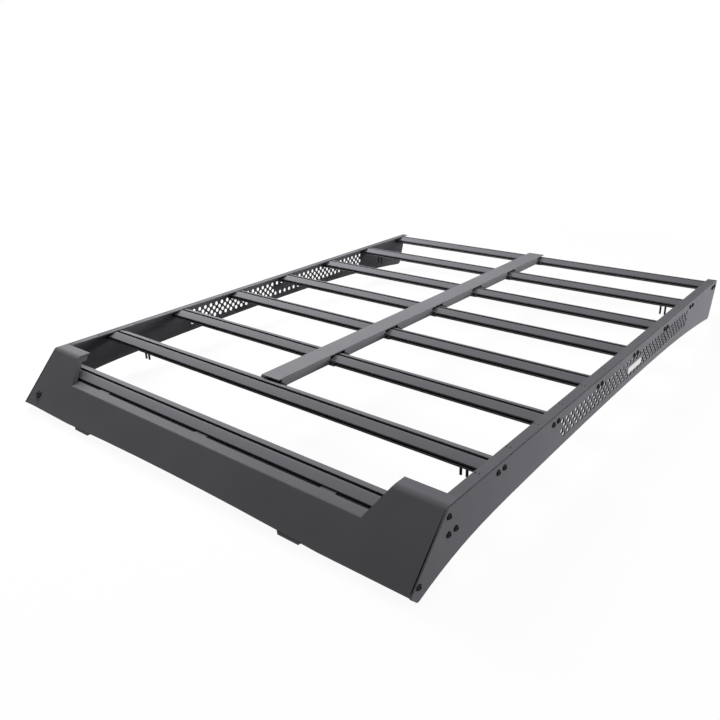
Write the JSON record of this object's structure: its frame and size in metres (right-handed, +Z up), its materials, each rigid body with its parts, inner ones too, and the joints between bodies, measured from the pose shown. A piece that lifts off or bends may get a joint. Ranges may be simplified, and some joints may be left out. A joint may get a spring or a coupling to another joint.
{
  "type": "flat platform roof rack",
  "caption": "Flat platform roof rack: slotted crossbars between perforated side rails, a centre plank, and a raked front fairing notched for a light bar.",
  "frame": {"origin": "middle of the footprint, on the floor that the tips of the side rails stand on", "axes": "+Z up, -Y to the front where the fairing is; +X is the right in the names of the pieces, which are as seen from in front"},
  "size_m": [1.258, 1.713, 0.14],
  "materials": {
    "panel_coat": "black powder coat, fine texture, satin",
    "bar_coat": "black powder coat, fine texture, satin",
    "bolt_black": "black oxide button heads",
    "stud_black": "black oxide studs",
    "bare_plate": "plain brushed plate, no lettering",
    "pad_rubber": "matte rubber"
  },
  "bodies": {
    "root": {"front_fairing": "panel_coat", "left_side_rail": "panel_coat", "right_side_rail": "panel_coat", "light_bar_crossbar": "bar_coat", "crossbar_1": "bar_coat", "crossbar_2": "bar_coat", "crossbar_3": "bar_coat", "crossbar_4": "bar_coat", "crossbar_5": "bar_coat", "crossbar_6": "bar_coat", "crossbar_7": "bar_coat", "centre_plank": "panel_coat", "left_crossbar_bolts": "bolt_black", "right_crossbar_bolts": "bolt_black", "left_fairing_bolts": "bolt_black", "right_fairing_bolts": "bolt_black", "right_badge_plate": "bare_plate", "left_fairing_pad": "pad_rubber", "right_fairing_pad": "pad_rubber", "front_left_studs": "stud_black", "front_right_studs": "stud_black", "rear_left_studs": "stud_black", "rear_right_studs": "stud_black"}
  },
  "joints": []
}
